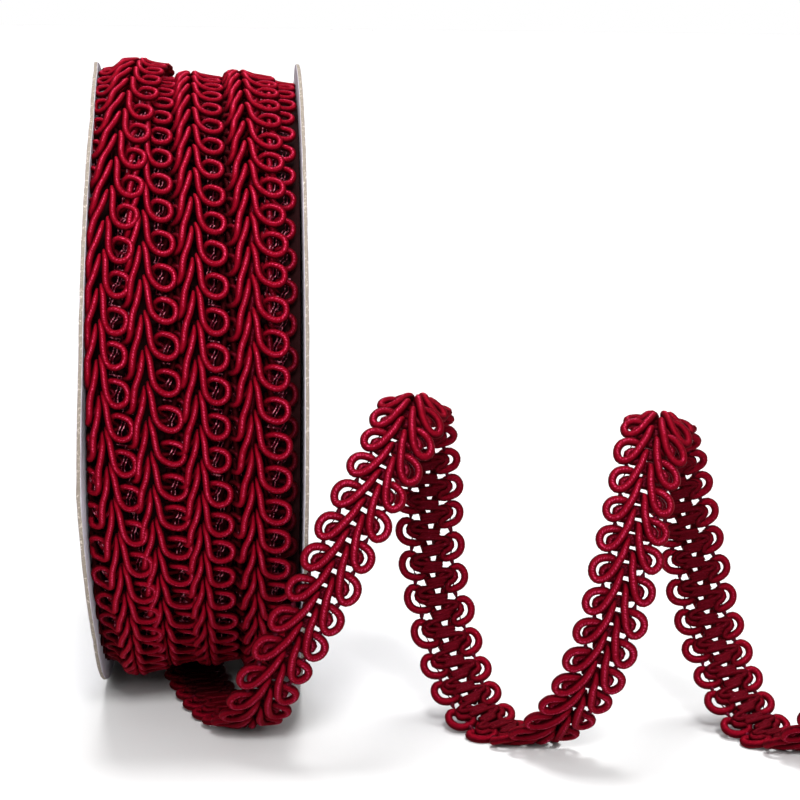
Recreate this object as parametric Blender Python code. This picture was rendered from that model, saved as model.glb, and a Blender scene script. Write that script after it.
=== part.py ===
# A small card spool of gimp braid trim, standing on its edge on a table.
# The spool's axis lies along X, and the viewer stands at -Y. The loose end leaves the underside of the
# roll and runs off to +X as a stretched coil of two arches. Sizes and places below are in millimetres
# from the point of the table under the spool's middle. At the end all parts move together, so that
# the origin is the middle of the whole footprint, on the table.

import math

import bmesh
import bpy
import numpy as np
from mathutils import Matrix

MM = 0.001

# Spool, in millimetres
disc_diameter = 100.0
disc_sides = 96
card_thickness = 0.65
spool_width = 32.2
gap = 0.3

# Braid, in millimetres
braid_width = 9.4
ring_pitch = 4.6
ring_depth = 1.3
spine_height = 1.0
ring_height = 0.55
back_height = 0.65

# Roll mesh
roll_columns = 31
roll_steps = 72
under_layer_radius = 46.8

# Tail mesh: stations for each ring, and the points of the tail's section
stations_per_ring = 4

# Colours, as linear red, green, blue
card_colour = (0.62, 0.56, 0.47, 1.0)
braid_colour = (0.30, 0.004, 0.022, 1.0)

# The outer turns in the order in which they were wound. Each row is a place on the roll:
# turn number, degrees up from the front, distance along the axis, radius of the braid's raised spine.
winding = [
    (0, -60.0, 11.8, 46.9),
    (0, 12.0, 11.3, 47.2),
    (0, 90.0, 10.7, 47.6),
    (0, 180.0, 10.2, 48.4),
    (0, 250.0, 9.7, 48.8),
    (1, -43.0, 9.0, 49.0),
    (1, 13.0, 8.2, 49.2),
    (1, 50.0, 7.4, 49.2),
    (1, 90.0, 5.8, 49.1),
    (1, 180.0, 3.6, 49.0),
    (1, 270.0, 1.9, 47.5),
    (2, -46.0, 1.4, 48.6),
    (2, 13.0, 0.4, 49.0),
    (2, 50.0, -0.7, 48.9),
    (2, 90.0, -1.9, 48.8),
    (2, 180.0, -3.3, 48.8),
    (2, 270.0, -4.6, 47.5),
    (3, -46.0, -4.9, 48.6),
    (3, 13.0, -7.0, 49.0),
    (3, 39.0, -7.8, 48.9),
    (3, 90.0, -8.4, 48.5),
    (3, 180.0, -9.0, 48.7),
    (3, 270.0, -10.1, 49.2),
    (4, -42.0, -10.0, 49.5),
    (4, -13.0, -11.6, 49.4),
    (4, 13.0, -13.5, 49.2),
    (4, 45.0, -12.0, 49.6),
    (4, 74.0, -10.1, 50.2),
    (4, 90.0, -9.3, 50.4),
    (4, 180.0, -6.0, 50.2),
    (4, 262.0, -2.2, 49.5),
]

# The braid's section on the roll: share of the half width, and depth below the spine
turn_section = [(0.0, 0.0), (0.25, 0.3), (0.65, 1.0), (0.92, 1.3), (1.0, 2.2)]

# The loose end: middle of the braid along its run, and its width there
tail_run = [
    (-1.6, 3.6, 1.1, 9.6),
    (-1.2, -7.0, 1.0, 9.6),
    (0.7, -17.0, 1.0, 9.7),
    (3.3, -25.5, 1.0, 9.8),
    (6.4, -34.0, 1.6, 9.8),
    (8.3, -40.5, 4.6, 9.8),
    (10.2, -46.3, 10.0, 9.9),
    (13.4, -50.4, 17.5, 9.9),
    (18.2, -52.0, 26.6, 9.9),
    (22.9, -50.9, 36.5, 9.9),
    (28.0, -47.2, 45.3, 9.9),
    (31.1, -41.5, 51.2, 9.9),
    (32.5, -35.0, 51.4, 10.0),
    (34.1, -28.0, 45.6, 10.2),
    (35.3, -24.6, 36.5, 10.4),
    (36.0, -23.6, 26.5, 10.4),
    (37.6, -24.6, 16.0, 10.4),
    (40.2, -29.0, 7.2, 10.2),
    (44.0, -35.6, 1.6, 10.0),
    (49.4, -42.2, 1.4, 9.9),
    (53.6, -48.6, 6.3, 9.9),
    (56.9, -53.4, 14.0, 9.9),
    (59.9, -55.5, 25.0, 9.9),
    (62.2, -54.2, 35.5, 9.9),
    (64.6, -50.2, 44.4, 9.9),
    (66.8, -44.8, 49.4, 9.9),
    (68.5, -38.5, 49.3, 10.0),
    (71.2, -32.2, 43.6, 10.2),
    (74.3, -28.3, 34.4, 10.4),
    (77.0, -27.2, 24.4, 10.4),
    (79.4, -28.6, 14.6, 10.4),
    (82.2, -33.2, 6.3, 10.2),
    (85.4, -39.6, 1.4, 10.0),
    (89.2, -46.4, 1.6, 9.9),
    (92.6, -52.2, 7.0, 9.9),
    (95.2, -55.4, 13.5, 9.9),
]

disc_radius = disc_diameter / 2
inner_face = spool_width / 2 - card_thickness
# The lowest flat side of the disc lies on the table
axis_height = disc_radius * math.cos(math.pi / disc_sides)


def smooth_curve(knots, values):
    """Natural cubic spline through the values at the knots."""
    knots = np.asarray(knots, float)
    values = np.asarray(values, float)
    count = len(knots)
    step = np.diff(knots)
    system = np.eye(count)
    right_side = np.zeros_like(values)
    for i in range(1, count - 1):
        system[i, i - 1:i + 2] = (step[i - 1], 2 * (step[i - 1] + step[i]), step[i])
        after = (values[i + 1] - values[i]) / step[i]
        before = (values[i] - values[i - 1]) / step[i - 1]
        right_side[i] = 6 * (after - before)
    bend = np.linalg.solve(system, right_side)

    def at(places):
        places = np.atleast_1d(places)
        i = np.clip(np.searchsorted(knots, places, side="right") - 1, 0, count - 2)
        width = step[i][:, None]
        a = (knots[i + 1] - places)[:, None] / width
        b = 1 - a
        curved = (a ** 3 - a) * bend[i] + (b ** 3 - b) * bend[i + 1]
        return a * values[i] + b * values[i + 1] + curved * width ** 2 / 6

    return at


def make_material(name, colour, roughness):
    material = bpy.data.materials.new(name)
    material.use_nodes = True
    shader = material.node_tree.nodes["Principled BSDF"]
    shader.inputs["Base Color"].default_value = colour
    shader.inputs["Roughness"].default_value = roughness
    shader.inputs["Metallic"].default_value = 0.0
    return material


def make_object(name, shape, material):
    bmesh.ops.recalc_face_normals(shape, faces=shape.faces)
    mesh = bpy.data.meshes.new(name)
    shape.to_mesh(mesh)
    shape.free()
    mesh.materials.append(material)
    mesh.shade_smooth()
    mesh.set_sharp_from_angle(angle=math.radians(40))
    part = bpy.data.objects.new(name, mesh)
    bpy.context.collection.objects.link(part)
    return part


def skin(sections):
    """Closed body through a list of closed sections of the same number of points."""
    shape = bmesh.new()
    loops = [[shape.verts.new(point) for point in section] for section in sections]
    count = len(loops[0])
    for first, second in zip(loops, loops[1:]):
        for i in range(count):
            j = (i + 1) % count
            shape.faces.new((first[i], first[j], second[j], second[i]))
    shape.faces.new(loops[0])
    shape.faces.new(loops[-1][::-1])
    return shape


def make_disc(name, x_middle, material):
    # Half a side's turn brings one flat side to the bottom, and the disc is then stood up
    flat_down = Matrix.Rotation(math.pi / disc_sides, 4, "Z")
    stand_up = Matrix.Rotation(math.radians(90), 4, "Y")
    shape = bmesh.new()
    bmesh.ops.create_cone(
        shape,
        cap_ends=True,
        segments=disc_sides,
        radius1=disc_radius * MM,
        radius2=disc_radius * MM,
        depth=card_thickness * MM,
        matrix=stand_up @ flat_down,
    )
    disc = make_object(name, shape, material)
    disc.location = (x_middle * MM, 0, axis_height * MM)
    return disc


def roll_radius(x, degrees, wound_at, first, last):
    """Radius of the wound surface at one place: the highest turn that passes there."""
    radius = under_layer_radius
    share = [row[0] for row in turn_section]
    depth = [row[1] for row in turn_section]
    for turn in range(-1, winding[-1][0] + 1):
        travel = turn * 360 + degrees
        if not first <= travel <= last:
            continue
        middle, crest = wound_at(travel)[0]
        away = abs(x - middle) / (braid_width / 2)
        if away < 1:
            radius = max(radius, crest - float(np.interp(away, share, depth)))
    return radius


def make_roll(material):
    travel = [turn * 360 + degrees for turn, degrees, _, _ in winding]
    wound_at = smooth_curve(travel, [row[2:] for row in winding])
    reach = inner_face - gap
    columns = np.linspace(-reach, reach, roll_columns)
    sections = []
    for x in columns:
        section = []
        for step in range(roll_steps):
            degrees = 360 * step / roll_steps
            radius = roll_radius(x, degrees, wound_at, travel[0], travel[-1])
            angle = math.radians(degrees)
            y = -radius * math.cos(angle)
            z = axis_height + radius * math.sin(angle)
            section.append((x * MM, y * MM, z * MM))
        sections.append(section)
    return make_object("braid_roll", skin(sections), material)


def tail_frames():
    """Points at even steps along the loose end, with its direction, width direction and face."""
    run = np.array(tail_run)
    knots = np.concatenate(([0], np.cumsum(np.linalg.norm(np.diff(run[:, :3], axis=0), axis=1))))
    curve = smooth_curve(knots, run)
    fine = np.linspace(0, knots[-1], 4000)
    points = curve(fine)
    length = np.concatenate(([0], np.cumsum(np.linalg.norm(np.diff(points[:, :3], axis=0), axis=1))))
    rings = int(length[-1] / ring_pitch)
    places = np.interp(np.linspace(0, length[-1], rings * stations_per_ring + 1), length, fine)
    points = curve(places)
    along = np.gradient(points[:, :3], axis=0)
    along /= np.linalg.norm(along, axis=1)[:, None]
    axis = np.array((1.0, 0.0, 0.0))
    across = axis - (along @ axis)[:, None] * along
    across /= np.linalg.norm(across, axis=1)[:, None]
    face = np.cross(across, along)
    return points, across, face


def make_tail(material):
    points, across, face = tail_frames()
    sections = []
    for station, (point, side, out) in enumerate(zip(points, across, face)):
        half = point[3] / 2
        # Rings stand out at both edges, those of one edge half a pitch after the other
        phase = 2 * math.pi * station / stations_per_ring
        left = half - ring_depth * (1 - math.cos(phase)) / 2
        right = half - ring_depth * (1 + math.cos(phase)) / 2
        outline = [
            (-left, ring_height * 0.6),
            (-0.5 * half, ring_height),
            (0.0, spine_height),
            (0.5 * half, ring_height),
            (right, ring_height * 0.6),
            (right, -back_height * 0.6),
            (0.0, -back_height),
            (-left, -back_height * 0.6),
        ]
        section = []
        for width, height in outline:
            place = point[:3] + side * width + out * height
            place[2] = max(place[2], 0.0)
            section.append(tuple(place * MM))
        sections.append(section)
    return make_object("braid_tail", skin(sections), material)


def centre_on_table(parts):
    """Hang the parts on one empty that brings the middle of their footprint to the origin."""
    corners = np.array([vert.co + part.location for part in parts for vert in part.data.vertices])
    low = corners.min(axis=0)
    high = corners.max(axis=0)
    frame = bpy.data.objects.new("spool_frame", None)
    bpy.context.collection.objects.link(frame)
    frame.location = (-(low[0] + high[0]) / 2, -(low[1] + high[1]) / 2, -low[2])
    for part in parts:
        part.parent = frame


def main():
    for old in list(bpy.data.objects):
        bpy.data.objects.remove(old, do_unlink=True)
    card = make_material("greyboard", card_colour, 0.85)
    braid = make_material("viscose_gimp", braid_colour, 0.5)
    disc_place = (spool_width - card_thickness) / 2
    parts = [
        make_disc("flange_left", -disc_place, card),
        make_disc("flange_right", disc_place, card),
        make_roll(braid),
        make_tail(braid),
    ]
    centre_on_table(parts)


main()
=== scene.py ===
import math
import random

import bpy
import numpy as np
from mathutils import Matrix, Vector


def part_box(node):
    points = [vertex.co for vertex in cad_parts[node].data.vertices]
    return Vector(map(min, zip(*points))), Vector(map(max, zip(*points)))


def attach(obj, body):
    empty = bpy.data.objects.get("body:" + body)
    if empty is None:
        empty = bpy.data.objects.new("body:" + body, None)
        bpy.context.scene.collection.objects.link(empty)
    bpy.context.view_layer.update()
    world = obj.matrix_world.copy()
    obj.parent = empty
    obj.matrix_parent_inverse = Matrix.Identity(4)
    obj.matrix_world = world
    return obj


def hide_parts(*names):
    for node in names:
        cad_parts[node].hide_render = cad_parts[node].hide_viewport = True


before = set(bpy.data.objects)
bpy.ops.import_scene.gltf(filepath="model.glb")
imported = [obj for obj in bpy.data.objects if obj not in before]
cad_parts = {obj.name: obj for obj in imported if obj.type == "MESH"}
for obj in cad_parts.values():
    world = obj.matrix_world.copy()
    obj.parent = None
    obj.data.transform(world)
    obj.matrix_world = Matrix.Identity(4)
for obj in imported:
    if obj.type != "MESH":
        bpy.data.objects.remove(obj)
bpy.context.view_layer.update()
print("frame loaded:", sorted(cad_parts))

mm = 0.001

# The spool stands where the frame has its two discs
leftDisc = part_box("flange_left")
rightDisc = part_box("flange_right")
spoolX = (leftDisc[0].x + rightDisc[1].x) / 2
spoolY = (leftDisc[0].y + leftDisc[1].y) / 2
spoolZ = (leftDisc[0].z + leftDisc[1].z) / 2
innerFace = (rightDisc[0].x - leftDisc[1].x) / 2 / mm
spoolPlace = np.array((spoolX, spoolY, 0.0)) / mm


# Materials

def colour(hexText):
    # sRGB hex to the linear numbers that the shader wants
    parts = [int(hexText[i:i + 2], 16) / 255 for i in (1, 3, 5)]
    return [c / 12.92 if c <= 0.04045 else ((c + 0.055) / 1.055) ** 2.4 for c in parts] + [1.0]


def addNode(tree, kind, settings=None, **links):
    # Settings are properties or socket values; a link is a socket of another node
    node = tree.nodes.new(kind)
    for name, value in (settings or {}).items():
        if isinstance(name, int) or name in node.inputs:
            node.inputs[name].default_value = value
        else:
            setattr(node, name, value)
    for name, source in links.items():
        key = int(name[2:]) if name.startswith("in") and name[2:].isdigit() else name.replace("_", " ")
        tree.links.new(source, node.inputs[key])
    return node


def addMath(tree, operation, *sources):
    # Each source is a number or the socket of another node
    node = addNode(tree, "ShaderNodeMath", {"operation": operation})
    for socket, source in zip(node.inputs, sources):
        if isinstance(source, (int, float)):
            socket.default_value = source
        else:
            tree.links.new(source, socket)
    return node.outputs[0]


def rampUp(tree, source, ends):
    # From 0 at the first end to 1 at the second
    return addNode(tree, "ShaderNodeMapRange", {1: ends[0], 2: ends[1]}, in0=source).outputs[0]


def mixColours(tree, share, first, second):
    # Each colour is an sRGB hex or the socket of another node
    node = addNode(tree, "ShaderNodeMix", {"data_type": "RGBA"}, in0=share)
    for socket, source in ((node.inputs[6], first), (node.inputs[7], second)):
        if isinstance(source, str):
            socket.default_value = colour(source)
        else:
            tree.links.new(source, socket)
    return node.outputs[2]


def newMaterial(name, settings):
    material = bpy.data.materials.new(name)
    material.use_nodes = True
    shader = material.node_tree.nodes["Principled BSDF"]
    for socket, value in settings.items():
        shader.inputs[socket].default_value = value
    return material, material.node_tree, shader


gimpLook = {
    "shade": "#220305",       # painted shade for yarn that lies deep in the braid
    "filaments": 5.0,         # filament bundles that show round the cord
    "streak": 0.55,           # how fast they change along the cord, for each mm
    "layLength": 7.0,         # mm of cord for one full twist
    "wrap": 0.42,             # mm from one crosswise wrap to the next
    "strands": 4.0,           # strands in the wrap, which set its slant
    "slack": 2.5,             # turns by which the wraps stray
    "relief": 0.10,           # mm
    "nipRelief": 0.2,         # how much the wraps add to the relief
    "bump": 0.8,
    "satin": 0.6,             # share of the light that comes back as coloured satin
    "gloss": 0.1,
    "glossTint": "#FF8CA4",
    "roughness": 0.48,
    "combed": 0.95,           # how far the wraps draw the gloss out into a line along the cord
    "crosswise": 0.25,        # turns between that line and the cord
    "worn": 0.96,             # share of the painted highlight and shade that the cord's inner side gets, against its outer side
    # Between these ends, by how far the skin faces outward, the cord goes from painted flank shade to body
    # and then to a painted crown highlight. The filaments and the nips of the wraps unsettle both, by so
    # much.
    "bodyEnds": (0.4, 1.05),
    "bodyStreaks": 0.6,
    "bodyNips": 0.12,
    "crownEnds": (1.145, 1.182),
    "crownStreaks": 0.25,
    "crownNips": 0.07,
}
# Painted shade on the flanks of the cord, where it turns down into the braid; the yarn itself; a painted
# highlight along its crown
yarnColours = {
    "viscoseGimpSatin": ("#3E020A", "#780417", "#BE3458"),
    # The loose end's copy is darker all over, painted shade
    "viscoseGimpLoose": ("#380208", "#6C0415", "#AC2C4E"),
    # The under turns' copy is much darker, painted shade
    "viscoseGimpUnder": ("#1C0303", "#400609", "#640C18"),
}


def gimpMaterial(name):
    # Viscose gimp: filament yarn laid along a core with a slow twist, so it is satiny and lined lengthwise
    flankPaintedShade, bodyColour, crownPaintedHighlight = yarnColours[name]
    material, tree, shader = newMaterial(name, {
        "Roughness": gimpLook["roughness"],
        "Metallic": gimpLook["satin"],
        "Anisotropic": gimpLook["combed"],
        "Anisotropic Rotation": gimpLook["crosswise"],
        "Specular IOR Level": gimpLook["gloss"],
        "Specular Tint": colour(gimpLook["glossTint"]),
    })
    cordMap = addNode(tree, "ShaderNodeUVMap", {"uv_map": "cordMap"})
    parts = addNode(tree, "ShaderNodeSeparateXYZ", in0=cordMap.outputs["UV"])
    around = parts.outputs["X"]
    along = parts.outputs["Y"]
    twist = addMath(tree, "MULTIPLY_ADD", along, 1 / gimpLook["layLength"], around)
    angle = addMath(tree, "MULTIPLY", twist, 2 * math.pi)
    wrapped = addNode(tree, "ShaderNodeCombineXYZ", in0=addMath(tree, "COSINE", angle),
                      in1=addMath(tree, "SINE", angle), in2=along).outputs[0]
    stretch = (gimpLook["filaments"], gimpLook["filaments"], gimpLook["streak"])
    lengthwise = addNode(tree, "ShaderNodeVectorMath", {"operation": "MULTIPLY", 1: stretch}, in0=wrapped)
    filament = addNode(tree, "ShaderNodeTexNoise", {"Scale": 1.0, "Detail": 3.0, "Roughness": 0.65},
                       Vector=lengthwise.outputs[0]).outputs["Fac"]
    # Fine wraps nip the yarn crosswise, at a slant and not quite evenly
    slack = addNode(tree, "ShaderNodeTexNoise", {"Scale": 1.0, "Detail": 2.0}, Vector=wrapped)
    uneven = addMath(tree, "MULTIPLY", slack.outputs["Fac"], gimpLook["slack"])
    slant = addMath(tree, "MULTIPLY_ADD", around, gimpLook["strands"], uneven)
    turns = addMath(tree, "MULTIPLY_ADD", along, 1 / gimpLook["wrap"], slant)
    wave = addMath(tree, "SINE", addMath(tree, "MULTIPLY", turns, 2 * math.pi))
    nip = rampUp(tree, wave, (-1.0, 1.0))
    # Painted light: a highlight line along the crown and shade on the flanks, by how far the skin faces
    # outward; the wraps break the line up
    outward = addNode(tree, "ShaderNodeAttribute", {"attribute_name": "outward"})
    surface = addNode(tree, "ShaderNodeNewGeometry")
    facing = addNode(tree, "ShaderNodeVectorMath", {"operation": "DOT_PRODUCT"},
                     in0=outward.outputs["Vector"], in1=surface.outputs["Normal"]).outputs["Value"]
    either = addMath(tree, "MAXIMUM", facing, addMath(tree, "MULTIPLY", facing, -gimpLook["worn"]))
    shares = {}
    for part in ("body", "crown"):
        streaked = addMath(tree, "MULTIPLY_ADD", filament, gimpLook[part + "Streaks"], either)
        nipped = addMath(tree, "MULTIPLY_ADD", nip, gimpLook[part + "Nips"], streaked)
        shares[part] = rampUp(tree, nipped, gimpLook[part + "Ends"])
    cord = mixColours(tree, shares["body"], flankPaintedShade, bodyColour)
    skin = mixColours(tree, shares["crown"], cord, crownPaintedHighlight)
    # Painted shade: yarn that lies deep in the braid is darkened, as it takes little light
    depth = addNode(tree, "ShaderNodeAttribute", {"attribute_name": "depth"})
    paintedShade = mixColours(tree, depth.outputs["Fac"], skin, gimpLook["shade"])
    tree.links.new(paintedShade, shader.inputs["Base Color"])
    relief = addMath(tree, "MULTIPLY_ADD", nip, gimpLook["nipRelief"], filament)
    bump = addNode(tree, "ShaderNodeBump", {
        "Strength": gimpLook["bump"], "Distance": gimpLook["relief"] * mm}, Height=relief)
    tree.links.new(bump.outputs["Normal"], shader.inputs["Normal"])
    grain = addNode(tree, "ShaderNodeTangent", {"direction_type": "UV_MAP", "uv_map": "cordMap"})
    tree.links.new(grain.outputs["Tangent"], shader.inputs["Tangent"])
    return material


gimpSatin, gimpLoosePaintedShade, gimpShade = [gimpMaterial(name) for name in yarnColours]


fuzzLook = {
    "grain": 2500.0,
    "step": 0.06,             # noise between plain thread and a painted glint
    # plain colour, painted glint colour, and the noise from which the thread has painted glints
    "polyesterBindingThread": ("#5E1024", "#C87284", 0.52),
    "polyesterJoiningThread": ("#38040F", "#6A1030", 0.60),
}


def threadMaterial(name):
    # Fine spun polyester, thin and fuzzy; painted glints at random along it make it paler than the gimp
    plain, worn, firstGlint = fuzzLook[name]
    material, tree, shader = newMaterial(name, {"Roughness": 0.7, "Specular IOR Level": 0.05})
    place = addNode(tree, "ShaderNodeTexCoord").outputs["Object"]
    noise = addNode(tree, "ShaderNodeTexNoise", {"Scale": fuzzLook["grain"], "Detail": 2.0}, Vector=place)
    paintedGlints = rampUp(tree, noise.outputs["Fac"], (firstGlint, firstGlint + fuzzLook["step"]))
    tree.links.new(mixColours(tree, paintedGlints, plain, worn), shader.inputs["Base Color"])
    return material


bindingThread = threadMaterial("polyesterBindingThread")
joiningThread = threadMaterial("polyesterJoiningThread")


cardLook = {
    "pulp": ("#6A6057", "#90867B"),      # the cut edge, dark and light
    "fleck": "#B4AA9F",
    "liner": ("#C4C0CC", "#DAD8E2"),     # the paper on its faces
    "pulpGrain": 1400.0,
    "fleckGrain": 2600.0,
    "fleckEnds": (0.56, 0.68),
    "faceEnds": (0.45, 0.8),             # how squarely a surface faces sideways before it has the liner
    "relief": 0.08,                      # mm
    "bump": 0.5,
}


def cardMaterial():
    # Greyboard: pulped, pressed and die-cut, so its faces are pale and smooth and its edge is rough
    material, tree, shader = newMaterial("dieCutGreyboard", {"Roughness": 0.82, "Specular IOR Level": 0.3})
    place = addNode(tree, "ShaderNodeTexCoord").outputs["Object"]
    surface = addNode(tree, "ShaderNodeNewGeometry")
    facing = addNode(tree, "ShaderNodeSeparateXYZ", in0=surface.outputs["Normal"])
    face = rampUp(tree, addMath(tree, "ABSOLUTE", facing.outputs["X"]), cardLook["faceEnds"])
    pulp = addNode(tree, "ShaderNodeTexNoise", {
        "Scale": cardLook["pulpGrain"], "Detail": 5.0, "Roughness": 0.7}, Vector=place).outputs["Fac"]
    fleck = addNode(tree, "ShaderNodeTexNoise", {
        "Scale": cardLook["fleckGrain"], "Detail": 3.0}, Vector=place)
    flecks = rampUp(tree, fleck.outputs["Fac"], cardLook["fleckEnds"])
    edge = mixColours(tree, flecks, mixColours(tree, pulp, *cardLook["pulp"]), cardLook["fleck"])
    liner = mixColours(tree, pulp, *cardLook["liner"])
    tree.links.new(mixColours(tree, face, edge, liner), shader.inputs["Base Color"])
    bump = addNode(tree, "ShaderNodeBump", {
        "Strength": cardLook["bump"], "Distance": cardLook["relief"] * mm}, Height=pulp)
    tree.links.new(bump.outputs["Normal"], shader.inputs["Normal"])
    return material


greyboard = cardMaterial()
print("materials made")


# Curves and tubes

def smoothCurve(knots, values):
    # Natural cubic spline through the values at the knots, as in the frame's own source
    knots = np.asarray(knots, float)
    values = np.asarray(values, float)
    count = len(knots)
    step = np.diff(knots)
    system = np.eye(count)
    rightSide = np.zeros_like(values)
    for i in range(1, count - 1):
        system[i, i - 1:i + 2] = (step[i - 1], 2 * (step[i - 1] + step[i]), step[i])
        after = (values[i + 1] - values[i]) / step[i]
        before = (values[i] - values[i - 1]) / step[i - 1]
        rightSide[i] = 6 * (after - before)
    bend = np.linalg.solve(system, rightSide)

    def at(places):
        places = np.atleast_1d(places)
        i = np.clip(np.searchsorted(knots, places, side="right") - 1, 0, count - 2)
        width = step[i][:, None]
        a = (knots[i + 1] - places)[:, None] / width
        b = 1 - a
        curved = (a ** 3 - a) * bend[i] + (b ** 3 - b) * bend[i + 1]
        return a * values[i] + b * values[i + 1] + curved * width ** 2 / 6

    return at


def lengthAlong(points):
    return np.concatenate(([0.0], np.cumsum(np.linalg.norm(np.diff(points, axis=0), axis=1))))


def makeTubes(name, lines, sides, material):
    # One mesh of closed round tubes. A line is (points in mm, radius in mm, depth from 0 to 1, outward
    # directions), and radius and depth are one number or one for each point. The depth sets the painted
    # shade, and the outward directions set the painted highlight and shade across the cord.
    # The map runs once round the cord in X, and along it in mm in Y.
    vertices = []
    faces = []
    around = []
    depths = []
    directions = []
    for points, radius, depth, outward in lines:
        points = np.asarray(points, float)
        reach = lengthAlong(points)
        radii = np.broadcast_to(np.asarray(radius, float), (len(points),))
        depths.extend(np.repeat(np.broadcast_to(np.asarray(depth, float), (len(points),)), sides))
        directions.append(np.repeat(outward, sides, axis=0))
        tangents = np.gradient(points, axis=0)
        tangents /= np.linalg.norm(tangents, axis=1)[:, None]
        normals = []
        normal = Vector(tangents[0]).orthogonal().normalized()
        for tangent in tangents:
            direction = Vector(tangent)
            normal = (normal - direction * normal.dot(direction)).normalized()
            normals.append(normal)
        normals = np.array(normals)
        others = np.cross(tangents, normals)
        turn = np.arange(sides) * 2 * math.pi / sides
        ring = np.cos(turn)[None, :, None] * normals[:, None, :]
        ring = ring + np.sin(turn)[None, :, None] * others[:, None, :]
        body = points[:, None, :] + ring * radii[:, None, None]
        start = len(vertices)
        vertices.extend((body.reshape(-1, 3) * mm).tolist())
        for i in range(len(points) - 1):
            low = start + i * sides
            for j in range(sides):
                k = (j + 1) % sides
                faces.append((low + j, low + k, low + sides + k, low + sides + j))
                u0, u1 = j / sides, (j + 1) / sides
                around.extend((u0, reach[i], u1, reach[i], u1, reach[i + 1], u0, reach[i + 1]))
        last = start + (len(points) - 1) * sides
        faces.append(tuple(start + j for j in reversed(range(sides))))
        faces.append(tuple(last + j for j in range(sides)))
        around.extend((0.5, reach[0]) * sides)
        around.extend((0.5, reach[-1]) * sides)
    mesh = bpy.data.meshes.new(name)
    mesh.from_pydata(vertices, [], faces)
    cordMap = mesh.uv_layers.new(name="cordMap")
    cordMap.data.foreach_set("uv", around)
    paintedShade = mesh.attributes.new("depth", "FLOAT", "POINT")
    paintedShade.data.foreach_set("value", depths)
    facing = mesh.attributes.new("outward", "FLOAT_VECTOR", "POINT")
    facing.data.foreach_set("vector", np.concatenate(directions).ravel())
    mesh.materials.append(material)
    mesh.shade_smooth()
    piece = bpy.data.objects.new(name, mesh)
    bpy.context.scene.collection.objects.link(piece)
    return piece


# One stitch of the braid, as the path of one cord. Each row is a place in mm and a thickness: outward from
# the spine, along the braid from the ring's middle, up from the braid's middle layer, and the share of the
# cord's full thickness. The cord comes up thin and squeezed at the spine, runs down the long leg, goes
# round the ring, makes a tongue inside it and returns to the spine underneath.

# Right cord on the roll, which the tension pulls close to the spine
tightStitch = [
    (0.26, 4.98, -1.05, 0.50), (0.30, 5.20, -0.55, 0.46), (0.34, 4.95, 0.02, 0.50),
    (0.50, 4.25, 0.40, 0.74), (0.72, 3.40, 0.50, 0.92), (0.86, 2.20, 0.50, 1.00),
    (1.00, 0.70, 0.45, 1.00), (1.35, -0.50, 0.35, 1.00), (2.05, -1.30, 0.20, 1.00),
    (3.15, -1.70, 0.08, 1.00), (4.25, -1.20, 0.00, 1.00), (4.65, -0.05, 0.00, 1.00),
    (4.38, 1.00, 0.00, 1.00), (3.50, 1.55, 0.00, 0.95), (2.60, 1.75, -0.06, 0.88),
    (1.90, 1.55, -0.40, 0.80), (1.60, 1.15, -1.00, 0.75), (1.75, 0.60, -1.45, 0.75),
    (2.50, 0.25, -1.50, 0.80), (2.70, -0.40, -1.50, 0.80), (1.90, -0.60, -1.35, 0.75),
    (0.90, -0.40, -0.95, 0.80), (0.36, -0.15, -0.80, 0.75),
]
# Left cord on the roll, which lies down over the rings of the next turn
leaningStitch = [
    (0.18, 6.90, -1.05, 0.50), (0.22, 7.10, -0.55, 0.46), (0.24, 6.85, 0.02, 0.50),
    (0.24, 6.10, 0.40, 0.74), (0.38, 5.20, 0.50, 0.94), (0.82, 3.50, 0.50, 1.00),
    (1.38, 1.95, 0.50, 1.06), (1.62, 0.60, 0.50, 1.10), (1.76, -0.60, 0.42, 1.08),
    (1.98, -1.40, 0.20, 1.00), (2.60, -1.95, -0.05, 0.95), (3.70, -1.70, -0.15, 0.95),
    (4.40, -0.50, -0.15, 0.95), (4.10, 0.80, -0.10, 0.95), (3.20, 1.30, -0.10, 0.90),
    (2.45, 1.10, -0.35, 0.80), (2.15, 0.60, -0.80, 0.78), (2.55, 0.10, -1.00, 0.82),
    (2.70, -0.50, -1.05, 0.82), (2.15, -0.90, -1.05, 0.75), (1.20, -0.40, -1.05, 0.80),
    (0.50, 0.60, -0.85, 0.78), (0.26, 1.50, -0.85, 0.68),
]
# Both cords of the loose end, which lies open
openStitch = [
    (0.25, 5.60, -0.62, 0.55), (0.42, 5.80, -0.18, 0.58), (0.54, 5.50, 0.30, 0.70),
    (0.70, 4.60, 0.50, 0.88), (0.90, 3.20, 0.52, 1.00), (1.22, 2.05, 0.50, 1.04),
    (1.68, 0.70, 0.42, 1.04), (2.15, -0.36, 0.30, 1.00), (2.75, -1.06, 0.18, 1.00),
    (3.65, -1.42, 0.06, 1.00), (4.42, -0.82, 0.00, 1.00), (4.66, 0.32, 0.00, 1.00),
    (4.15, 1.42, 0.00, 1.00), (3.28, 1.90, 0.00, 1.00), (2.35, 2.05, -0.15, 0.98),
    (1.65, 1.85, -0.42, 0.95), (1.70, 1.15, -0.60, 0.88), (2.50, 0.66, -0.50, 0.90),
    (3.08, 0.16, -0.42, 0.92), (2.98, -0.52, -0.45, 0.92), (2.40, -1.00, -0.55, 0.92),
    (1.60, -0.98, -0.62, 0.90), (0.90, -0.40, -0.66, 0.84), (0.40, 0.25, -0.66, 0.66),
]


fineSteps = 600               # steps along one stitch that even out its points
ringHold = (0.7, 2.5)         # mm from the spine between which a cord comes free of its stitches
ringMiddle = 3.1              # mm from the spine to the middle of a ring


def freeShare(out):
    return np.interp(out, ringHold, (0, 1))


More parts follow.
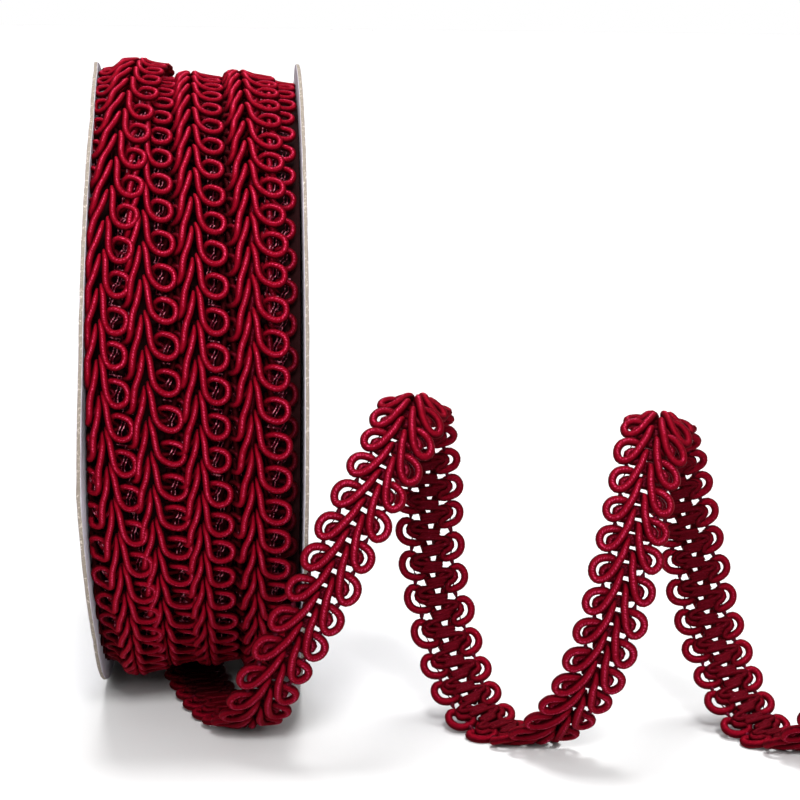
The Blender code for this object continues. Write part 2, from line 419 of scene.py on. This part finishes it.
def stitchLine(stitch, pitch, samples):
    # Even points along one stitch, with the distance along the braid counted in rings
    rows = np.array(stitch)
    rows[:, 1] /= pitch
    nextRing = np.array((0, 1, 0, 0))
    chain = np.concatenate([rows + nextRing, rows, rows - nextRing, (rows - 2 * nextRing)[:1]])
    scale = np.array((1, pitch, 1))
    knots = lengthAlong(chain[:, :3] * scale)
    curve = smoothCurve(knots, chain)
    count = len(rows)
    fine = np.linspace(knots[count], knots[2 * count], fineSteps)
    reach = lengthAlong(curve(fine)[:, :3] * scale)
    return curve(np.interp(np.arange(samples) / samples * reach[-1], reach, fine))


def cordLine(stitchPoints, firstRing, lastRing, wander, seed):
    # The cord's path through all its rings, last ring first, as it is made. Each ring differs a little.
    draw = random.Random(seed)
    rows = []
    for number in range(lastRing, firstRing - 1, -1):
        out, along, up, girth = stitchPoints.T
        free = freeShare(out)
        size = 1 + draw.uniform(-1, 1) * wander["size"]
        shiftedOut = out + free * ((out - ringMiddle) * (size - 1) + draw.uniform(-1, 1) * wander["out"])
        shiftedAlong = number + along * (1 + free * (size - 1))
        shiftedAlong = shiftedAlong + free * draw.uniform(-1, 1) * wander["along"]
        shiftedUp = up + free * draw.uniform(-1, 1) * wander["up"]
        rows.append(np.column_stack((shiftedOut, shiftedAlong, shiftedUp, girth)))
    return np.concatenate(rows)


# The outer turns on the roll, in the order of winding and close to the raised turns of the frame's solid:
# turn number, degrees up from the front, mm along the axis, and mm out to the braid's raised spine
winding = [
    (0, -60.0, 9.9, 46.6), (0, 12.0, 9.9, 47.0), (0, 90.0, 9.9, 47.9), (0, 180.0, 9.8, 48.4),
    (0, 250.0, 9.4, 48.7), (1, -43.0, 9.0, 49.0), (1, 13.0, 8.2, 49.2), (1, 50.0, 7.4, 49.2),
    (1, 90.0, 5.8, 49.1), (1, 180.0, 3.6, 49.0), (1, 270.0, 1.9, 47.5), (2, -46.0, 1.4, 48.6),
    (2, 13.0, 0.4, 49.0), (2, 50.0, -0.7, 48.9), (2, 90.0, -1.9, 48.8), (2, 180.0, -3.3, 48.8),
    (2, 270.0, -4.6, 47.5), (3, -46.0, -4.9, 48.6), (3, 13.0, -7.0, 49.0), (3, 39.0, -7.8, 48.9),
    (3, 90.0, -8.4, 48.5), (3, 180.0, -9.0, 48.7), (3, 270.0, -10.1, 49.2), (4, -42.0, -10.0, 49.5),
    (4, -13.0, -11.6, 49.4), (4, 13.0, -13.5, 49.2), (4, 45.0, -12.1, 50.2), (4, 74.0, -10.6, 50.7),
    (4, 90.0, -10.1, 50.8), (4, 180.0, -6.6, 50.2), (4, 262.0, -2.2, 49.5),
]
# Where the right rings come on the roll: turn number, degrees, count of rings so far, and how far the
# ring's middle stands out from the spine in mm
ringCount = [
    (0, -60.0, -9.8, 2.8), (0, -1.0, 0, 2.9), (0, 23.7, 4, 2.7), (0, 48.0, 8, 2.7), (0, 71.0, 12, 2.8),
    (1, -21.7, 56, 3.0), (1, -3.4, 59, 3.4), (1, 20.0, 63, 3.3), (1, 43.3, 67, 3.4), (1, 66.7, 71, 3.7),
    (2, -49.4, 111, 2.6), (2, -30.2, 114, 2.6), (2, -6.2, 118, 2.6), (2, 17.8, 122, 2.7),
    (2, 41.7, 126, 2.8), (2, 65.3, 130, 3.0), (3, -49.3, 171, 3.4), (3, -29.4, 174, 3.3),
    (3, -4.8, 178, 3.4), (3, 19.5, 182, 3.1), (3, 44.4, 186, 2.5), (4, -39.5, 232, 2.7),
    (4, -12.8, 236, 2.4), (4, 11.8, 240, 2.2), (4, 42.2, 245, 2.9), (4, 67.5, 249, 2.8),
    (4, 262.0, 281.3, 2.9),
]
# How far the braid drops away from its spine on the roll, in mm: outward from the spine, and down.
# The right rings ride on the next turn and the left ones are tucked below the rings of the turn before.
rightDrop = [(0.0, 0.0), (0.8, 0.05), (1.6, 0.2), (3.1, 0.35), (4.7, 0.45), (5.5, 0.55)]
leftDrop = [
    (0.0, 0.0), (0.8, 0.1), (1.6, 0.35), (2.1, 0.75), (2.6, 1.4), (3.1, 1.85), (4.7, 2.2), (5.5, 2.3),
]


rollCords = {
    "cordRadius": 0.51,       # mm
    "crestHeight": 1.0,       # mm from the braid's middle layer up to the crown of the spine
    "pitch": 5.13,            # mm from ring to ring, stretched by the winding
    "leftLag": 0.5,           # share of a ring by which the left rings come later
    "ringOffset": 3.0,        # mm from the spine to the middle of a right ring, where the stitch has it
    "samples": 44,
    "sides": 8,
    "clearance": 0.1,         # mm kept between the cords and the card
    "fold": 1.3,              # mm that the edge goes down for each mm that the card holds it back
    "wander": {"size": 0.05, "out": 0.14, "along": 0.035, "up": 0.1},
    "open": 1.65,             # mm below the spine's crown that light reaches; below it the yarn gets painted shade
    "darkest": 1.3,           # mm below that where the painted shade is darkest
    "uncovered": (1350.0, 1420.0),   # degrees of winding over which the left rings come free of the turns
    "uncoveredDrop": 0.5,            # share of their drop that they keep
    "uncoveredShade": 0.3,           # and of their painted shade
    "loosened": (1480.0, 1515.0),    # degrees over which they spread towards the warped card
    "spread": 0.7,                   # mm
    "shaded": (0.0, 50.0),           # degrees over which the first turn comes out of painted shade
    # painted shade at the start of the first turn
    "firstShade": 0.85,
}
underCords = {
    # first and last ring, mm down, and mm along the axis
    "layers": [(75, 228, 2.15, 4.4), (186, 240, 2.3, -4.6)],
    "samples": 24,
    "sides": 6,
    "seed": 70,
}

travelKnots = [turn * 360 + degrees for turn, degrees, _, _ in winding]
woundAt = smoothCurve(travelKnots, [row[2:] for row in winding])
countKnots = np.array([turn * 360 + degrees for turn, degrees, _, _ in ringCount])
countValues = np.array([row[2] for row in ringCount], float)
ringOffsets = np.array([row[3] for row in ringCount])


def rollPlaces(points, side, sink=0.0, shift=0.0):
    # From (outward, ring number, up) to places in mm on the wound roll, their painted shade from 0 to 1 by
    # how deep they lie, and the direction outward from the roll
    out, number, up = points[:, :3].T
    travel = np.interp(number, countValues, countKnots)
    middle, crest = woundAt(travel).T
    if side > 0:
        out = out + freeShare(out) * (np.interp(travel, countKnots, ringOffsets) - rollCords["ringOffset"])
    # Against a disc the braid's edge folds down along the card
    limit = innerFace - rollCords["cordRadius"] - rollCords["clearance"]
    drop = np.interp(np.abs(out), *zip(*(rightDrop if side > 0 else leftDrop)))
    if side < 0:
        drop = drop * np.interp(travel, rollCords["uncovered"], (1, rollCords["uncoveredDrop"]))
        spread = np.interp(travel, rollCords["loosened"], (0, rollCords["spread"]))
        out = out + spread * freeShare(out)
        limit = limit + spread
    x = middle + side * out + shift
    excess = np.maximum(np.abs(x) - limit, 0)
    x = np.clip(x, -limit, limit)
    lowered = drop + excess * rollCords["fold"]
    radius = crest - rollCords["crestHeight"] + up - lowered - sink
    angle = np.radians(travel)
    y = -radius * np.cos(angle)
    z = spoolZ / mm + radius * np.sin(angle)
    depth = np.clip((crest - rollCords["open"] - radius) / rollCords["darkest"], 0, 1)
    depth = np.maximum(depth, np.interp(travel, rollCords["shaded"], (rollCords["firstShade"], 0)))
    if side < 0:
        depth = depth * np.interp(travel, rollCords["uncovered"], (1, rollCords["uncoveredShade"]))
    outward = np.column_stack((0 * x, -np.cos(angle), np.sin(angle)))
    return np.column_stack((x, y, z)) + spoolPlace, depth, outward


def rollCord(side, first, last, seed, samples, sink=0.0, shift=0.0):
    # A line for makeTubes: one cord of one turn
    stitch = tightStitch if side > 0 else leaningStitch
    path = cordLine(stitchLine(stitch, rollCords["pitch"], samples), first, last, rollCords["wander"], seed)
    if side < 0:
        path[:, 1] += rollCords["leftLag"]
    places, depth, outward = rollPlaces(path, side, sink, shift)
    return places, path[:, 3] * rollCords["cordRadius"], depth, outward


# First ring of each turn, and the one after its last
turnRings = [(-9, 26), (26, 86), (86, 146), (146, 206), (206, 272)]
rollPieces = []
for turn, (first, last) in enumerate(turnRings):
    lines = [rollCord(side, first, last - 1, 10 * turn + side, rollCords["samples"]) for side in (1, -1)]
    piece = makeTubes(f"woundTurn{turn + 1}", lines, rollCords["sides"], gimpSatin)
    rollPieces.append(piece)
    print("wound turn", turn + 1, len(piece.data.polygons), "faces")

# Turns under the outer ones, in the gimp's much darker copy, painted shade
underLines = []
for first, last, sink, shift in underCords["layers"]:
    for side in (1, -1):
        seed = underCords["seed"] + side
        underLines.append(rollCord(side, first, last, seed, underCords["samples"], sink, shift))
under = makeTubes("woundUnderTurns", underLines, underCords["sides"], gimpShade)
rollPieces.append(under)
print("under turns", len(under.data.polygons), "faces")

# The turns below those are only seen as a dark ground: a near-black drum whose colour is painted shade
drumLook = {"radius": 44.4, "steps": 144, "gap": 0.3, "yarn": "#1C0304"}
bpy.ops.object.select_all(action="DESELECT")
bpy.ops.mesh.primitive_cylinder_add(
    vertices=drumLook["steps"], radius=drumLook["radius"] * mm,
    depth=2 * (innerFace - drumLook["gap"]) * mm,
    location=(spoolX, spoolY, spoolZ), rotation=(0, math.radians(90), 0))
drum = bpy.context.object
drum.name = "woundUnderLayers"
bpy.ops.object.transform_apply(location=True, rotation=True, scale=True)
drumYarn = newMaterial("drumYarn", {
    "Base Color": colour(drumLook["yarn"]), "Roughness": 0.9, "Specular IOR Level": 0.1})[0]
drum.data.materials.append(drumYarn)
rollPieces.append(drum)

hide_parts("braid_roll")
for piece in rollPieces:
    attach(piece, "root")


# The loose end, as in the frame's own source: the middle of the braid along its run, and its width, in mm
tailRun = [
    (-1.6, 3.6, 1.1, 9.6), (-1.2, -7.0, 1.0, 9.6), (0.7, -17.0, 1.0, 9.7), (3.3, -25.5, 1.0, 9.8),
    (6.4, -34.0, 1.6, 9.8), (8.3, -40.5, 4.6, 9.8), (10.2, -46.3, 10.0, 9.9), (13.4, -50.4, 17.5, 9.9),
    (18.2, -52.0, 26.6, 9.9), (22.9, -50.9, 36.5, 9.9), (28.0, -47.2, 45.3, 9.9),
    (31.1, -41.5, 51.2, 9.9), (32.5, -35.0, 51.4, 10.0), (34.1, -28.0, 45.6, 10.2),
    (35.3, -24.6, 36.5, 10.4), (36.0, -23.6, 26.5, 10.4), (37.6, -24.6, 16.0, 10.4),
    (40.2, -29.0, 7.2, 10.2), (44.0, -35.6, 1.6, 10.0), (49.4, -42.2, 1.4, 9.9), (53.6, -48.6, 6.3, 9.9),
    (56.9, -53.4, 14.0, 9.9), (59.9, -55.5, 25.0, 9.9), (62.2, -54.2, 35.5, 9.9),
    (64.6, -50.2, 44.4, 9.9), (66.8, -44.8, 49.4, 9.9), (68.5, -38.5, 49.3, 10.0),
    (71.2, -32.2, 43.6, 10.2), (74.3, -28.3, 34.4, 10.4), (77.0, -27.2, 24.4, 10.4),
    (79.4, -28.6, 14.6, 10.4), (82.2, -33.2, 6.3, 10.2), (85.4, -39.6, 1.4, 10.0),
    (89.2, -46.4, 1.6, 9.9), (92.6, -52.2, 7.0, 9.9), (95.2, -55.4, 13.5, 9.9),
]
# Where the right rings come along the loose end: mm from its start, and count of rings
tailCount = [
    (0.0, -9.9), (48.9, 0), (60.2, 2), (70.7, 4), (80.7, 6), (90.6, 8), (131.4, 17), (135.8, 18),
    (146.4, 20), (157.1, 22), (166.5, 24), (199.3, 31), (208.7, 33), (218.2, 35), (226.7, 37),
    (263.2, 45), (268.1, 46), (277.6, 48), (287.1, 50), (295.8, 52), (329.4, 59.2),
]
tailCords = {
    "cordRadius": 0.61,       # mm
    "pitch": 4.95,
    "leftLag": 0.45,
    "samples": 50,
    "sides": 10,
    "runSteps": 6000,         # steps along the run that even out its points
    "rings": (-9, 58),        # first and last
    "cut": 0.4,               # rings past the last one where the scissors went
    "nominalWidth": 10.1,     # mm across the stitch as charted
    "sag": {"at": (108.0, 241.0), "spread": 10.0, "right": 2.4, "left": 0.5},   # mm along the run, and down
    "sagFrom": 1.0,           # mm from the spine where the sag begins
    "sagOver": 3.7,           # mm further out where it is whole
    "sagMost": 1.2,
    "sagBend": 1.5,           # 1 would be straight
    "stiffness": 0.25,        # slope of the rings over the top of an arch, where they don't bend with it
    "buriedAt": 1.1,          # mm below the middle layer where no light would reach, for the painted shade
    "darkest": 0.6,           # but the painted shade stops here, as some light comes through the open rings
    "shaded": (-5.0, -2.8),   # rings over which it comes out of the painted shadow of the roll
    "tips": (2.5, 3.5),       # mm from the spine over which the left rings reach out from under the roll and out of most of that shadow
    "tipShade": 0.2,
    "wander": {"size": 0.04, "out": 0.1, "along": 0.03, "up": 0.08},
}

tailTable = np.array(tailRun)
tailKnots = lengthAlong(tailTable[:, :3])
tailCurve = smoothCurve(tailKnots, tailTable)
tailFine = np.linspace(0, tailKnots[-1], tailCords["runSteps"])
tailPoints = tailCurve(tailFine)
tailReach = lengthAlong(tailPoints[:, :3])
tailAlong = np.gradient(tailPoints[:, :3], axis=0)
tailAlong /= np.linalg.norm(tailAlong, axis=1)[:, None]
tailAcross = np.array((1.0, 0.0, 0.0)) - tailAlong[:, :1] * tailAlong
tailAcross /= np.linalg.norm(tailAcross, axis=1)[:, None]
tailFace = np.cross(tailAcross, tailAlong)


def tailPlaces(points, side, radius):
    # As rollPlaces, on the loose end, where outward is out of the braid's face
    out, number, up = points[:, :3].T
    run = np.interp(number, [row[1] for row in tailCount], [row[0] for row in tailCount])
    spot = np.column_stack([np.interp(run, tailReach, tailPoints[:, i]) for i in range(4)])
    across = np.column_stack([np.interp(run, tailReach, tailAcross[:, i]) for i in range(3)])
    face = np.column_stack([np.interp(run, tailReach, tailFace[:, i]) for i in range(3)])
    width = side * out * spot[:, 3] / tailCords["nominalWidth"]
    place = spot[:, :3] + across * width[:, None] + face * up[:, None] + spoolPlace
    # Over the top of each arch the braid's edges sag, the right one more
    sag = tailCords["sag"]
    crest = sum(np.exp(-((run - middle) / sag["spread"]) ** 2) for middle in sag["at"])
    edge = np.clip((np.abs(out) - tailCords["sagFrom"]) / tailCords["sagOver"], 0, tailCords["sagMost"])
    edge = edge ** tailCords["sagBend"]
    place[:, 2] -= crest * edge * np.where(side * out > 0, sag["right"], sag["left"])
    ringShare = number - (tailCords["leftLag"] if side < 0 else 0)
    ringShare = ringShare - np.round(ringShare)
    place[:, 2] += crest * edge * ringShare * tailCords["pitch"] * tailCords["stiffness"]
    place[:, 2] = np.maximum(place[:, 2], radius)   # it lies on the table, not in it
    # Painted shadow: under the roll it is darkened as if it took no light, but for the tips of the left
    # rings, which reach out from under it
    paintedRollShadow = np.interp(number, tailCords["shaded"], (1, 0))
    if side < 0:
        paintedRollShadow = paintedRollShadow * np.interp(out, tailCords["tips"], (1, tailCords["tipShade"]))
    # Painted shade below the braid's middle layer
    depth = np.clip(-up / tailCords["buriedAt"], 0, tailCords["darkest"])
    return place, np.maximum(depth, paintedRollShadow), face


tailLines = []
for side in (1, -1):
    stitch = stitchLine(openStitch, tailCords["pitch"], tailCords["samples"])
    path = cordLine(stitch, *tailCords["rings"], tailCords["wander"], 100 + side)
    path = path[path[:, 1] < tailCords["rings"][1] + tailCords["cut"]]
    if side < 0:
        path[:, 1] += tailCords["leftLag"]
    girth = path[:, 3] * tailCords["cordRadius"]
    places, depth, outward = tailPlaces(path, side, girth)
    tailLines.append((places, girth, depth, outward))

tail = makeTubes("looseEnd", tailLines, tailCords["sides"], gimpLoosePaintedShade)
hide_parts("braid_tail")
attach(tail, "root")

# Lacing cord, which goes to and fro across the back and ties both cords to the spine
lacing = {
    "radius": 0.46,           # mm
    "level": -0.96,           # mm up from the braid's middle layer
    "sides": 8,
    "step": 0.25,             # share of the way from corner to corner
    # corners for each ring: mm outward on the right, and share of the way to the next ring
    "corners": [(1.75, -0.04), (-1.4, 0.01), (1.5, 0.07), (-1.2, 0.13), (1.2, 0.18), (-1.9, 0.24),
                (-1.9, 0.46), (1.4, 0.52), (-1.5, 0.58), (1.3, 0.63), (-2.0, 0.69), (1.7, 0.75)],
}
corners = []
for ring in range(*tailCords["rings"]):
    corners.extend((out, ring + share, lacing["level"]) for out, share in lacing["corners"])
lacingCurve = smoothCurve(range(len(corners)), corners)
lacingPath = lacingCurve(np.arange(0, len(corners) - 1 + 1e-6, lacing["step"]))
places, depth, outward = tailPlaces(lacingPath, 1, lacing["radius"])
lacingLine = (places, lacing["radius"], depth, outward)
laced = makeTubes("looseEndLacing", [lacingLine], lacing["sides"], gimpLoosePaintedShade)
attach(laced, "root")


# Binding threads, which run the length of the braid through its rings

threadLook = {
    "radius": 0.08,           # mm
    "sides": 5,
    "perRing": 16,
    "slack": 0.3,             # mm that a thread strays to each side from ring to ring
    "sway": 0.12,             # mm within a ring
    # On the loose end: mm from the spine, mm up between the rings and in their holes, and the thickness
    # between the rings, where the threads are drawn together
    "tailAt": 2.8,
    "tailHigh": -0.1,
    "tailLow": -0.42,
    "tailSag": 0.7,           # 1 would be an even wave
    "knotRadius": 0.4,
    "knotShort": 5,           # how short the thick places are
    # On the roll: mm outward from ring to ring, and their share of the cords' painted shade, which their
    # material does not read
    "rollSlant": 1.6,
    "rollShade": 0.6,
}


def threadPath(first, last, outAt, seed):
    # Along the rings at the braid's middle layer
    perRing = threadLook["perRing"]
    number = np.arange(first * perRing, last * perRing + 1) / perRing
    draw = random.Random(seed)
    strays = [draw.uniform(-threadLook["slack"], threadLook["slack"]) for i in range(last - first + 3)]
    slack = np.interp(number, range(first - 1, last + 2), strays)
    out = outAt + slack + threadLook["sway"] * np.sin(4 * math.pi * number)
    return np.column_stack((out, number, 0 * number))


tailThreads = []
for side in (1, -1):
    path = threadPath(*tailCords["rings"], threadLook["tailAt"], 30 + side)
    hole = 0.5 + 0.5 * np.cos(2 * math.pi * path[:, 1])
    sagging = (threadLook["tailLow"] - threadLook["tailHigh"]) * hole ** threadLook["tailSag"]
    path[:, 2] = threadLook["tailHigh"] + sagging
    if side < 0:
        path[:, 1] += tailCords["leftLag"]
    thicker = (threadLook["knotRadius"] - threadLook["radius"]) * (1 - hole) ** threadLook["knotShort"]
    girth = threadLook["radius"] + thicker
    places, depth, outward = tailPlaces(path, side, girth)
    tailThreads.append((places, girth, depth, outward))
threads = makeTubes("looseEndThreads", tailThreads, threadLook["sides"], joiningThread)
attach(threads, "root")

# On the roll two of them show as dashes in each ring's hole, and one of these as a dot on the ring's lower
# bow too, and they are hidden elsewhere. For each one's mm from the spine: share of the way from ring to
# ring, and mm up
threadRuns = {
    2.75: [
        (-0.5, -1.3), (-0.37, -1.3), (-0.32, 0.58), (-0.27, -1.3), (-0.1, -1.3), (-0.05, -0.5),
        (0.05, -0.5), (0.1, -1.3), (0.5, -1.3),
    ],
    3.25: [(-0.5, -1.3), (-0.14, -1.3), (-0.09, -0.5), (0.01, -0.5), (0.06, -1.3), (0.5, -1.3)],
}
rollThreads = []
for side in (1, -1):
    for turn, (first, last) in enumerate(turnRings):
        for outAt, heights in threadRuns.items():
            path = threadPath(first, last, outAt, 50 + 10 * turn + side)
            share = path[:, 1] - np.round(path[:, 1])
            path[:, 0] += threadLook["rollSlant"] * share
            path[:, 2] = np.interp(share, *zip(*heights))
            if side < 0:
                path[:, 1] += rollCords["leftLag"]
            places, depth, outward = rollPlaces(path, side)
            rollThreads.append((places, threadLook["radius"], threadLook["rollShade"] * depth, outward))
wound = makeTubes("woundThreads", rollThreads, threadLook["sides"], bindingThread)
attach(wound, "root")
print("threads", len(threads.data.polygons) + len(wound.data.polygons), "faces")


# Card discs

discLook = {
    "sides": 420,
    "layers": 5,
    "roughness": 0.09,        # mm that the cut edge wanders
    "waves": 14,              # waves in it
    "waveShare": 0.4,         # their share of it
    "grain": (-0.6, 0.4),     # and the rest, from point to point
    "rounding": 0.8,          # how far the edge's two corners are pressed in
    "nick": 0.16,             # mm of the odd torn fibre
    "nickShare": 0.03,        # share of the points that have one
}
# How each card is warped: degrees up from the front, and mm along the axis at the rim
leftWarp = [
    (-90, 0.45), (-45, 0.45), (-12, -0.55), (10, 0.0), (35, 0.2), (57, 0.3), (78, -0.3), (92, -1.1),
    (130, -1.7), (190, -1.0), (240, 0.0), (270, 0.45),
]
rightWarp = [
    (-90, 0.0), (-40, 0.2), (-10, 0.35), (20, 0.25), (50, 0.0), (75, -0.3), (92, -0.5), (130, -0.5),
    (190, -0.2), (270, 0.0),
]


def makeDisc(name, node, warp, seed):
    # Stands in the node's box: cut from a circle, in layers through its thickness, with a rough edge
    low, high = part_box(node)
    radius = (high.z - low.z) / 2 - discLook["roughness"] * mm
    thickness = high.x - low.x
    bpy.ops.object.select_all(action="DESELECT")
    bpy.ops.mesh.primitive_circle_add(
        vertices=discLook["sides"], radius=radius, fill_type="NGON",
        location=(low.x, spoolY, spoolZ), rotation=(0, math.radians(90), 0))
    disc = bpy.context.object
    disc.name = name
    bpy.ops.object.transform_apply(location=True, rotation=True, scale=True)
    bpy.ops.object.mode_set(mode="EDIT")
    bpy.ops.mesh.select_all(action="SELECT")
    for layer in range(discLook["layers"]):
        bpy.ops.mesh.extrude_region_move(
            TRANSFORM_OT_translate={"value": (thickness / discLook["layers"], 0, 0)})
    bpy.ops.mesh.select_all(action="SELECT")
    bpy.ops.mesh.normals_make_consistent(inside=False)
    bpy.ops.object.mode_set(mode="OBJECT")
    draw = random.Random(seed)
    centre = Vector((0, spoolY, spoolZ))
    waves = []
    for i in range(discLook["waves"]):
        waves.append((draw.randint(3, 60), draw.uniform(0, 6.3), draw.uniform(0.1, 0.5)))
    for vertex in disc.data.vertices:
        spoke = Vector((0, vertex.co.y, vertex.co.z)) - centre
        angle = math.atan2(spoke.z, spoke.y)
        share = (vertex.co.x - low.x) / thickness
        wander = sum(size * math.sin(count * angle + shift) for count, shift, size in waves) / 3
        rough = wander * discLook["waveShare"] + draw.uniform(*discLook["grain"])
        if draw.random() < discLook["nickShare"]:
            rough += draw.uniform(0.5, 1) * discLook["nick"] / discLook["roughness"]
        rounded = -discLook["rounding"] * abs(2 * share - 1) ** 4
        grow = (rough + rounded) * discLook["roughness"] * mm / spoke.length
        degrees = (math.degrees(math.atan2(spoke.z, -spoke.y)) + 90) % 360 - 90
        lean = np.interp(degrees, *zip(*warp)) * (spoke.length / radius) ** 2
        vertex.co.x += lean * mm
        vertex.co.y += spoke.y * grow
        vertex.co.z = max(vertex.co.z + spoke.z * grow, 0.0)
    for polygon in disc.data.polygons:
        polygon.use_smooth = len(polygon.vertices) == 4
    disc.data.materials.append(greyboard)
    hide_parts(node)
    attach(disc, "root")


makeDisc("cardDiscLeft", "flange_left", leftWarp, 3)
makeDisc("cardDiscRight", "flange_right", rightWarp, 4)
print("discs made")


# Stage, light and camera

stageLook = {
    "size": 60.0,             # metres
    "floor": "#C8C8C8",
    # brightness of the air by the sine of the height above the horizon: a bright wall, a dim room
    # and a wide lit ceiling
    "air": [(0.0, 1.0), (0.06, 1.0), (0.10, 0.42), (0.68, 0.42), (0.80, 0.9)],
}
bpy.ops.object.select_all(action="DESELECT")
bpy.ops.mesh.primitive_plane_add(size=stageLook["size"], location=(0, 0, 0))
floor = bpy.context.object
floor.name = "floor"
paper = newMaterial("studioPaper", {
    "Base Color": colour(stageLook["floor"]), "Roughness": 0.9, "Specular IOR Level": 0.1})[0]
floor.data.materials.append(paper)

world = bpy.data.worlds.new("studioAir")
bpy.context.scene.world = world
world.use_nodes = True
direction = addNode(world.node_tree, "ShaderNodeTexCoord")
height = addNode(world.node_tree, "ShaderNodeSeparateXYZ", in0=direction.outputs["Generated"])
ramp = addNode(world.node_tree, "ShaderNodeValToRGB", in0=height.outputs["Z"])
for place, light in stageLook["air"]:
    stop = ramp.color_ramp.elements.new(place) if place > 0 else ramp.color_ramp.elements[0]
    stop.color = (light, light, light, 1)
ramp.color_ramp.elements.remove(ramp.color_ramp.elements[-1])
air = world.node_tree.nodes["Background"]
world.node_tree.links.new(ramp.outputs["Color"], air.inputs["Color"])
bpy.context.scene.view_settings.view_transform = "Standard"   # a paper white and a full crimson

# Far softboxes: the way towards each, strength, and degrees across
boxLooks = {
    "frontBox": ((0.06, -0.74, 0.67), 2.7, 14.0),
    "topBox": ((0.0, 0.12, 0.99), 3.1, 24.0),
}
for name, (place, strength, spread) in boxLooks.items():
    box = bpy.data.lights.new(name, "SUN")
    box.energy = strength
    box.angle = math.radians(spread)
    lamp = bpy.data.objects.new(name, box)
    bpy.context.scene.collection.objects.link(lamp)
    lamp.location = place
    lamp.rotation_euler = (-Vector(place)).to_track_quat("-Z", "Y").to_euler()

# A small panel in front of the spool
panelLook = {"place": (-0.16, -0.45, 0.24), "aim": (-0.041, -0.04, 0.05), "size": 0.14, "watts": 0.8}
panel = bpy.data.lights.new("spoolPanel", "AREA")
panel.energy = panelLook["watts"]
panel.size = panelLook["size"]
panelLamp = bpy.data.objects.new("spoolPanel", panel)
bpy.context.scene.collection.objects.link(panelLamp)
panelLamp.location = panelLook["place"]
aim = Vector(panelLook["aim"]) - Vector(panelLook["place"])
panelLamp.rotation_euler = aim.to_track_quat("-Z", "Y").to_euler()

photoView = {
    "focalPixels": 2137.0,    # focal length, in pixels of the square picture
    "pictureSize": 800.0,
    "distance": 350.0,        # mm from the lens to the spool's middle
    "turn": -3.79,            # degrees
    "tilt": 10.0,
    "roll": 0.72,
    "middleAt": (202.7, 371.3),   # where the point 50 mm up the spool's middle stands in the picture
    "middleHeight": 50.0,
    "sensor": 36.0,               # mm
    "nearest": 0.01,              # metres, the first thing that the lens sees
}


def placeCamera():
    turn, tilt, roll = (math.radians(photoView[key]) for key in ("turn", "tilt", "roll"))
    ahead = Vector((-math.sin(turn), math.cos(turn), 0))
    sideways = Vector((math.cos(turn), math.sin(turn), 0))
    forward = ahead * math.cos(tilt) - Vector((0, 0, math.sin(tilt)))
    upward = ahead * math.sin(tilt) + Vector((0, 0, math.cos(tilt)))
    right = sideways * math.cos(roll) + upward * math.sin(roll)
    up = upward * math.cos(roll) - sideways * math.sin(roll)
    half = photoView["pictureSize"] / 2
    perPixel = photoView["distance"] / photoView["focalPixels"]
    pixelX, pixelY = photoView["middleAt"]
    target = Vector(spoolPlace) + Vector((0, 0, photoView["middleHeight"]))
    lens = target - right * (pixelX - half) * perPixel - up * (half - pixelY) * perPixel
    lens -= forward * photoView["distance"]
    data = bpy.data.cameras.new("photoCamera")
    data.sensor_width = photoView["sensor"]
    data.sensor_height = photoView["sensor"]
    data.lens = photoView["focalPixels"] / photoView["pictureSize"] * photoView["sensor"]
    data.clip_start = photoView["nearest"]
    camera = bpy.data.objects.new("photoCamera", data)
    bpy.context.scene.collection.objects.link(camera)
    turned = Matrix((right, up, -forward)).transposed().to_4x4()
    turned.translation = lens * mm
    camera.matrix_world = turned
    bpy.context.scene.camera = camera


placeCamera()
print("stage and camera set")
